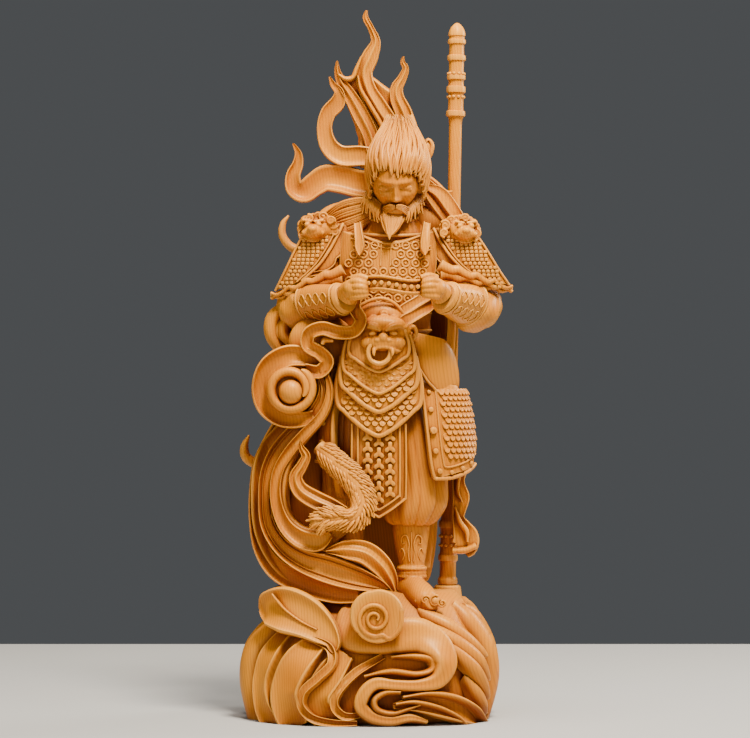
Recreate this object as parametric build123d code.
"""A carved wooden guardian in armour, standing on a base of clouds and rock.

Millimetres, +Z up, +X to the figure's left hand, the figure faces -Y.
The origin is the middle of the base's flat underside.
Each carved element is a solid of its own, scribed to fit the ones before it.
The turned staff lifts out of its socket along its own axis.
"""

import math
import os

from build123d import *

# Driving dimensions
HEIGHT = 300.0
BASE_WIDTH = 98.0
BASE_DEPTH = 80.0
ROCK_TOP = 54.0
WAIST = 162.0
ELBOW = 173.0
SHOULDER = 202.0

# The body sways: its middle line moves over from the hips to the head
BODY_X = 6.0
CHEST_X = 9.0
HEAD_X = 12.0
HEAD_CENTRE = (HEAD_X, -11.0, 225.0)

# The staff, its tenon and the room that is left around it
STAFF_FOOT = (34.6, 20.0, ROCK_TOP)
STAFF_TOP = (38.8, 20.0, HEIGHT - 4)
SHAFT_RADIUS = 2.7
TENON_RADIUS = 2.4
TENON_LENGTH = 6.0
FIT = 0.1
CHANNEL_RADIUS = 4.7

# Faces that the front pieces share, as y
APRON_BACK = -12.0
GUARD_FRONT = -30.0

# The ellipsoid that the left thigh armour is cut from
THIGH_CENTRE = (18.0, 4.0, 112.0)
THIGH_RADII = (28.0, 21.0, 52.0)

# Scribing can leave crumbs: a piece made of several solids keeps those above this volume
SMALLEST_PIECE = 2.0

TO_START = (Align.CENTER, Align.CENTER, Align.MIN)
TO_END = (Align.CENTER, Align.CENTER, Align.MAX)

parts = {}
boxes = {}


# Shape helpers
def plate(points, front, back, holes=()):
    """A smooth closed outline of (x, z) points, carved through from y = front to y = back."""
    face = make_face(Spline(*points, periodic=True))
    for hole in holes:
        face -= make_face(Spline(*hole, periodic=True))
    return extrude(Plane.XZ.offset(-back) * face, back - front)


def panel(points, front, back):
    """As plate, with straight edges between the points."""
    face = make_face(Polyline(*points, close=True))
    return extrude(Plane.XZ.offset(-back) * face, back - front)


def egg(centre, radii):
    """An ellipsoid."""
    return Pos(*centre) * scale(Sphere(1), by=tuple(float(r) for r in radii))


def column(sections):
    """A smooth upright form through ellipses of (z, centre x, centre y, half width, half depth)."""
    rings = [Pos(x, y, z) * Ellipse(a, b) for z, x, y, a, b in sections]
    return loft(rings)


def boulder(sections):
    """A smooth upright form through rounded rectangles of (z, centre x, centre y, width, depth)."""
    roundness = 0.42
    rings = []
    for z, x, y, width, depth in sections:
        corner = roundness * min(width, depth)
        rings.append(Pos(x, y, z) * RectangleRounded(width, depth, corner))
    return loft(rings)


def limb(stations):
    """A round form through circles of (x, y, z, radius), each square to the way the limb runs."""
    points = [Vector(*s[:3]) for s in stations]
    rings = []
    for i, station in enumerate(stations):
        before, after = points[max(i - 1, 0)], points[min(i + 1, len(points) - 1)]
        rings.append(Plane(points[i], z_dir=after - before) * Circle(station[3]))
    return loft(rings)


def pipe(points, radius):
    """A round rod along straight runs, joined by the widest arcs that the runs leave room for."""
    share = 0.45
    spots = [Vector(*p) for p in points]
    bends = []
    for before, here, after in zip(spots, spots[1:], spots[2:]):
        turn = math.radians((here - before).get_angle(after - here))
        run = min((here - before).length, (after - here).length)
        bends.append(share * run / math.tan(turn / 2))
    path = FilletPolyline(*points, radius=bends)
    return sweep(Plane(spots[0], z_dir=spots[1] - spots[0]) * Circle(radius), path=path)


def shell_plate(points, centre, radii, thickness, front, back):
    """A curved plate: the outline of (x, z) points, cut from the skin of an ellipsoid."""
    inner = [r - thickness for r in radii]
    skin = egg(centre, radii) - egg(centre, inner)
    return skin & plate(points, front, back)


# Assembly helpers
def boxes_meet(one, two):
    """Whether two bounding boxes overlap."""
    low = (one.min.X < two.max.X, one.min.Y < two.max.Y, one.min.Z < two.max.Z)
    high = (two.min.X < one.max.X, two.min.Y < one.max.Y, two.min.Z < one.max.Z)
    return all(low) and all(high)


def add(name, shape, group=False):
    """Keeps a piece, scribed to the staff's channel and to every piece that is already there."""
    box = shape.bounding_box()
    shape = shape - staff_channel()
    for near in [n for n in parts if boxes_meet(box, boxes[n])]:
        shape = shape - parts[near]
    solids = sorted(shape.solids(), key=lambda s: s.volume)
    solids = [s for s in solids if s.volume > SMALLEST_PIECE] if group else solids[-1:]
    parts[name] = Compound(children=solids) if group else solids[0]
    boxes[name] = parts[name].bounding_box()


# The staff and the channel that it lifts through
def staff_location():
    """The staff's foot, with Z up the staff, which leans a little to the figure's left."""
    run, rise = STAFF_TOP[0] - STAFF_FOOT[0], STAFF_TOP[2] - STAFF_FOOT[2]
    return Pos(*STAFF_FOOT) * Rot(0, math.degrees(math.atan2(run, rise)), 0)


def staff():
    """A turned rod with a ringed grip at each end and a tenon at its foot."""
    length = (Vector(*STAFF_TOP) - Vector(*STAFF_FOOT)).length
    bead, waist = 4.2, 3.6
    foot = [(0, -TENON_LENGTH), (TENON_RADIUS, -TENON_LENGTH), (TENON_RADIUS, 0), (bead, 0)]
    foot += [(bead, 3), (waist, 4), (waist, 10), (bead, 11), (bead, 12.5), (waist, 13.5)]
    foot += [(waist, 24), (bead, 25), (bead, 27), (SHAFT_RADIUS, 30)]
    grip = [(SHAFT_RADIUS, 42), (waist, 39), (bead - 0.2, 38), (bead - 0.2, 36), (waist, 35)]
    grip += [(waist, 29), (bead - 0.2, 28), (bead - 0.2, 26), (waist, 25), (waist, 19)]
    grip += [(bead - 0.2, 18), (bead - 0.2, 16.5), (waist, 15.5), (waist, 9), (bead - 0.2, 8)]
    grip += [(bead - 0.2, 6), (waist - 0.2, 4), (2.0, 1), (0, 0)]
    profile = foot + [(r, length - down) for r, down in grip]
    face = make_face(Plane.XZ * Polyline(*profile, close=True))
    return staff_location() * revolve(face, Axis.Z)


def staff_channel():
    """The room that the staff needs on its way up, from just above its foot."""
    return staff_location() * Cylinder(CHANNEL_RADIUS, HEIGHT, align=TO_START)


def staff_socket():
    """The hole in the rock for the tenon, with a running fit."""
    return staff_location() * Cylinder(TENON_RADIUS + FIT, TENON_LENGTH + FIT, align=TO_END)


# The base
def rock_base():
    """The core of the base: a squat rock that narrows to the ledge that the boots stand on."""
    w, d = BASE_WIDTH, BASE_DEPTH
    sections = [(0, 0, 0, w - 4, d - 4), (12, 0, 0, w, d), (28, 0, 0, w - 2, d - 2)]
    sections += [(40, 2, 1, w - 14, d - 14), (48, 6, 3, w - 24, d - 26)]
    sections += [(ROCK_TOP, 9, 6, w - 30, d - 36)]
    return boulder(sections) - staff_socket()


def base_pieces():
    """The rock, and the clouds and ridges that wrap round it."""
    add("rock_base", rock_base())
    add("cloud_scroll", Pos(4, -12, 46) * Rot(90, 0, 0) * Cylinder(11, 30, align=TO_START))
    body = [(-15.5, 42), (-12, 51), (-4, 53), (8, 46), (20, 44.5), (33, 38), (39.5, 26)]
    body += [(36, 17.5), (26, 14.8), (16, 17), (26, 21), (27, 27.5), (16, 29.5), (-2, 27.5)]
    body += [(-10, 32)]
    add("cloud_front", plate(body, -45, -14))
    wave = [(-3.5, 12), (2, 19), (12, 19.5), (16, 16.5), (9, 14), (11, 10.5), (24, 11.5)]
    wave += [(36, 10), (44, 3), (36, 1), (20, 3), (10, 2.5), (1, 4)]
    add("cloud_wave", plate(wave, -46, -26))
    lobe = [(-46, 47), (-42, 55), (-34, 57.5), (-24, 52), (-14, 45), (-13, 38), (-20, 34)]
    lobe += [(-32, 36), (-42, 40)]
    add("cloud_lobe_left", plate(lobe, -34, 8))
    add("cloud_flank_left", egg((-38, -12, 19), (15.5, 26, 19)) & top_half())
    add("rock_ridge_right", egg((40, -10, 22), (14, 26, 27)) & top_half())
    add("rock_ridge_back", egg((33, 22, 26), (19, 17, 25)) & top_half())
    billows = egg((2, 33, 22), (22, 11, 22)) + egg((-30, 26, 24), (20, 16, 23))
    add("cloud_back", billows & top_half())


def top_half():
    """Everything above the surface that the base stands on."""
    return Box(HEIGHT, HEIGHT, HEIGHT, align=TO_START)


# Legs and skirts
def leg_pieces():
    """Boots, gathered trousers and the skirt of the robe."""
    boot = limb([(18, 2, 84, 8.4), (18, 2, 76, 7.6), (18, 1, 62, 5.8), (18, 0, 50, 6.2)])
    foot = egg((22.5, -10, 51), (8, 14, 6))
    add("left_boot", boot + foot)
    add("right_boot", limb([(-8, 6, 88, 8), (-8, 6, 72, 7), (-8, 5, 58, 6), (-8, 5, 48, 6)]))
    cuff = [(81, 19, 1, 9, 9), (88, 21, 1, 14, 13), (97, 21, 1, 15, 14), (106, 19, 1, 13, 14)]
    add("left_trouser", column(cuff))
    cuff = [(82, -8, 6, 8.6, 8.6), (90, -8, 5, 12, 12), (106, -7, 4, 11, 13)]
    add("right_trouser", column(cuff))
    skirt = [(92, 6, 3, 24, 16), (115, BODY_X, 3, 24.5, 17), (140, BODY_X, 3, 22, 16)]
    add("robe_skirt", column(skirt + [(WAIST - 4, BODY_X, 3, 17, 13)]))


# Body and armour
def body_pieces():
    """The trunk from waist to neck, the chest plate over it, and the belt with its mask."""
    trunk = [(WAIST - 4, BODY_X, 3, 17, 13), (175, 7.5, 3, 18, 13), (190, CHEST_X, 3, 21, 13.5)]
    trunk += [(SHOULDER, CHEST_X, 4, 21, 12.5), (210, 10.5, 3, 12, 10), (219, 11, 0, 8, 8)]
    add("torso", column(trunk))
    chest = [(172, 7, 2, 19, 15), (190, CHEST_X, 1.5, 23, 16), (205, CHEST_X, 2.5, 17, 14.5)]
    front_half = Pos(CHEST_X, 0, 190) * Box(60, 40, 60, align=(Align.CENTER, Align.MAX, Align.CENTER))
    add("chest_plate", column(chest) & front_half)
    neck = [(204, 10, 1, 15, 13.5), (209, 10.5, 0, 14, 13), (213, 11, -1, 12, 12)]
    add("collar", column(neck))
    belt = [(WAIST, 6.5, 3, 20, 16), (166, 6.5, 3, 20.6, 16.6), (171, 7, 3, 20, 16)]
    add("waist_belt", column(belt))
    add("belt_mask", egg((5, -14, 167.5), (12, 8, 9.5)))
    add("mask_ring", Pos(5, -22.5, 155) * Rot(90, 0, 0) * Torus(5, 0.95))


def apron(top, half, tip, front):
    """A pointed shield that hangs from the belt: flat top, swelling sides, a point at the bottom."""
    middle, deep = 5, top - tip
    shares = [(0.84, 0.0), (1.0, 0.28), (0.88, 0.6), (0.5, 0.86)]
    side = [(middle + half * across, top - deep * down) for across, down in shares]
    other = [(2 * middle - x, z) for x, z in reversed(side)]
    point = (middle, tip)
    face = make_face(Spline(*side, point) + Spline(point, *other) + Line(other[-1], side[0]))
    return extrude(Plane.XZ.offset(-APRON_BACK) * face, APRON_BACK - front)


def apron_pieces():
    """Four shields, each lower and wider than the one in front of it, and the tongue below."""
    add("apron_top", apron(162, 11, 145.5, -22))
    add("apron_stippled", apron(160, 13.5, 136.5, -20.5))
    add("apron_scaled_upper", apron(155, 14.5, 129, -19.5))
    add("apron_scaled_lower", apron(150, 17, 119, -18.5))
    tongue = [(-7, 124), (16, 124), (16, 92), (5, 84), (-4, 90)]
    add("centre_panel", panel(tongue, -17.5, -10))


def tasset_pieces():
    """The thigh armour at both sides, and the studs along its borders."""
    hip = [(17, 163), (24, 160), (33, 152), (38.5, 141), (33, 138.5), (27, 138.5), (21, 150)]
    add("left_hip_guard", shell_plate(hip, (16, 4, 146), (24, 20, 30), 3, GUARD_FRONT, 30))
    guard = [(24, 142), (38, 141), (41, 130), (45, 107), (37, 102), (29, 101), (26, 104)]
    guard += [(24.5, 125)]
    add("left_tasset", shell_plate(guard, THIGH_CENTRE, THIGH_RADII, 3.5, GUARD_FRONT, 16))
    other = [(-7, 152), (-11, 147), (-16, 132), (-21, 108), (-14, 107), (-12, 125)]
    add("right_tasset", shell_plate(other, (-2, 4, 122), (22, 21, 50), 3, GUARD_FRONT, 16))
    row = [(26.5, 139), (28, 131), (29, 122), (29.5, 113), (31, 105), (36, 104.5), (41, 106.5)]
    spots = [(x, thigh_front(x, z), z) for x, z in row]
    spots += [(-15.2 - 1.1 * i, -11.5, 140 - 8 * i) for i in range(5)]
    peg = Rot(90, 0, 0) * Cylinder(1.2, 5)
    add("tasset_studs", Compound(children=[Pos(*spot) * peg for spot in spots]), group=True)


def thigh_front(x, z):
    """The depth of the left thigh armour's face at (x, z)."""
    (cx, cy, cz), (rx, ry, rz) = THIGH_CENTRE, THIGH_RADII
    inside = 1 - ((x - cx) / rx) ** 2 - ((z - cz) / rz) ** 2
    return cy - ry * math.sqrt(max(inside, 0.05))


# Arms
def arm_pieces():
    """Both arms, bent to bring the hands together in front of the chest."""
    add_arm("right", (-14, 4, SHOULDER - 1), (-29, 1, ELBOW), (-9, -26, 180), (-5, -33, 184))
    add_arm("left", (32, 4, SHOULDER - 1), (48, 1, ELBOW), (32, -26, 180), (27.5, -33, 184))


def add_arm(side, shoulder, elbow, wrist, hand):
    """One arm: the sleeve to the elbow, the bracer on the forearm, and the hand."""
    upper = limb([(*shoulder, 9.5), (*midway(shoulder, elbow, 0.5), 9.5), (*elbow, 8.8)])
    add(side + "_sleeve", upper + egg(elbow, (9.4, 9.4, 8.6)))
    fore = limb([(*midway(elbow, wrist, 0.2), 7.6), (*midway(elbow, wrist, 0.6), 7), (*wrist, 5)])
    add(side + "_bracer", fore)
    add(side + "_hand", egg(hand, (5.5, 7, 6.5)))


def midway(a, b, share):
    """The point that lies this share of the way from a to b."""
    return tuple(p + (q - p) * share for p, q in zip(a, b))


def pauldron_pieces():
    """The shoulder armour: a curved plate, a beast's head on top and a folded hem below."""
    edge = [(-12, 207), (-22, 205), (-31, 197), (-39, 181), (-38, 176), (-24, 180), (-16, 190)]
    add("right_pauldron", shell_plate(edge, (-17, 2, 190), (23, 17, 23), 3, GUARD_FRONT, 30))
    edge = [(32, 208), (41, 206), (50, 197), (59.5, 183), (60, 178), (44, 181), (35, 190)]
    add("left_pauldron", shell_plate(edge, (37, 2, 190), (24, 17, 23), 3, GUARD_FRONT, 30))
    add("right_shoulder_beast", egg((-21, -4, 206), (8.5, 9, 7.5)))
    add("left_shoulder_beast", egg((39.5, -4, 205.5), (8.5, 9, 7.5)))
    hem = [(-15, 184), (-26, 181.5), (-41, 178.5), (-34, 176), (-20, 180), (-14, 181)]
    add("right_pauldron_hem", plate(hem, -15, 8))
    hem = [(36, 185), (47, 183.5), (62, 180.5), (55, 178), (42, 181), (36, 181.5)]
    add("left_pauldron_hem", plate(hem, -15, 8))


# Head
def head_pieces():
    """The head, with the beard and the swept hair over it."""
    add("head", egg(HEAD_CENTRE, (11.5, 12.5, 14.5)))
    add("beard", limb([(10.5, -19, 215, 5.5), (10, -22, 208, 4), (9, -23, 200, 1.2)]))
    mane = [(219, 13, 0, 11, 8), (228, 13.5, -3, 14.5, 12), (238, 14, -4, 15, 14.5)]
    mane += [(247, 13.5, -3, 11, 10), (255, 14, -1, 6, 5)]
    add("hair", column(mane))


def circlet():
    """A plain carved band, open at the back, that the two hands hold out."""
    outer, inner = Ellipse(17, 12), Ellipse(13.5, 8.5)
    back = Pos(0, 16) * Rectangle(60, 24)
    band = extrude(outer - inner - back, 2.2)
    return Pos(11.5, -27, 186) * Rot(-12, 0, 0) * band


# Flames, scarves and flowing robes
def flow_pieces():
    """The flame behind the head, the scarf that streams from it, and the sleeve's tail."""
    flame = [(22, 240), (21, 255), (17, 262), (16.8, 268), (18.2, 275), (15.6, 280.3)]
    flame += [(13.8, 277), (14.4, 271.5), (10.5, 265), (6, 265), (2, 272), (4, 279)]
    flame += [(6, 287), (3, 294), (0, HEIGHT), (-1.8, 298.5), (0.5, 290), (-0.8, 284)]
    flame += [(-4.5, 278), (-7, 272.8), (-10, 273), (-12.7, 278.6), (-14.2, 274), (-16.3, 270.5)]
    flame += [(-15, 266), (-13, 262.5), (-18, 258), (-21.5, 250), (-19.5, 241), (-13, 234.5)]
    flame += [(-4, 232.5), (8, 234)]
    eye = [(-10, 257.5), (-5, 251.5), (-4, 247), (-9, 243.5), (-14, 246.5), (-14.5, 252)]
    add("flame_crest", plate(flame, 4, 12, holes=[eye]))
    scarf = [(2, 220), (-14, 221), (-22, 222), (-24, 217), (-30, 216.5), (-34.3, 225)]
    scarf += [(-31.5, 235), (-31.6, 243), (-27.5, 239), (-26.5, 231), (-19, 235), (0, 232)]
    add("scarf_streamer", plate(scarf, 2, 13))
    folds = egg((24, 8, 216), (12, 8, 13)) + egg((-6, 7, 212), (13, 9, 10))
    add("neck_scarf", folds, group=True)
    add("scarf_hook", pipe([(-24, 6, 197), (-33, 6, 199), (-37, 6, 206), (-33, 6, 212)], 1.6))
    add("sleeve_tail", egg((-36, 6, 163), (8, 9, 10)))


def ribbon_pieces():
    """The ribbons and robe on the right: a knot, a scroll, a fur tail and a great wave."""
    path = [(-4, -24, 175), (-5, -25, 165), (-14, -25, 161), (-23, -24, 162), (-27, -22, 156)]
    path += [(-20, -20, 150), (-26, -18, 144)]
    add("belt_ribbon", pipe(path, 2.4))
    scroll = Pos(-33, -6, 140.5) * Rot(90, 0, 0) * Cylinder(13.8, 20, align=TO_START)
    add("ribbon_scroll", scroll + egg((-31.5, -26, 137), (5.4, 4.5, 5.4)))
    tail = [(-19, -15, 114), (-9, -19, 105), (-1, -22, 95), (-3, -25, 85), (-13, -27, 84)]
    tail += [(-20, -28, 81)]
    add("fur_tail", pipe(tail, 4.2))
    crescent = [(-22, 133), (-36, 121), (-45.5, 107), (-49, 90), (-46, 72), (-33, 57)]
    crescent += [(-18, 51), (0, 56), (11, 59), (9, 69), (2, 78), (-8, 80), (-18, 76), (-30, 80)]
    crescent += [(-37, 92), (-36, 106), (-27, 119)]
    add("robe_wave", plate(crescent, -29, -4))
    curl = [(-14, -24, 91), (-25, -22, 95), (-25, -21, 103), (-28, -21, 109), (-26, -21, 116)]
    add("wave_curl", pipe(curl, 1.7))
    add("wave_hook", pipe([(-44, 0, 107), (-50, 0, 108), (-52.3, 0, 113), (-50, 0, 119)], 1.4))


def back_pieces():
    """The cape behind the body and the flame that edges it on the left."""
    outer = [(72, 2, 12, 38, 18), (120, 3, 10, 34, 17), (170, 6, 8, 33, 15), (212, 8, 7, 19, 11)]
    inner = [(71, 2, 6, 34, 16), (120, 3, 5, 30, 16), (170, 6, 4, 28, 13), (213, 8, 3, 15, 10)]
    behind = Pos(0, 9, 0) * Box(200, 60, HEIGHT, align=(Align.CENTER, Align.MIN, Align.MIN))
    add("back_cape", (column(outer) & behind) - column(inner))
    edge = [(34, 140), (39.5, 136), (43.5, 134.6), (42.6, 127), (47, 114), (44, 102), (40.5, 96)]
    edge += [(45, 90.5), (43.2, 83), (48.6, 77), (46, 70.5), (36, 68.5), (32, 84), (34, 104)]
    add("side_flame", plate(edge, 6, 12.5))


def main():
    """Adds the pieces, front ones first where they meet, and writes one file for each."""
    base_pieces()
    leg_pieces()
    body_pieces()
    apron_pieces()
    tasset_pieces()
    arm_pieces()
    head_pieces()
    add("circlet", circlet())
    pauldron_pieces()
    flow_pieces()
    ribbon_pieces()
    back_pieces()
    parts["staff"] = staff()
    os.makedirs("parts", exist_ok=True)
    for name, shape in parts.items():
        export_step(shape, f"parts/{name}.step")


main()
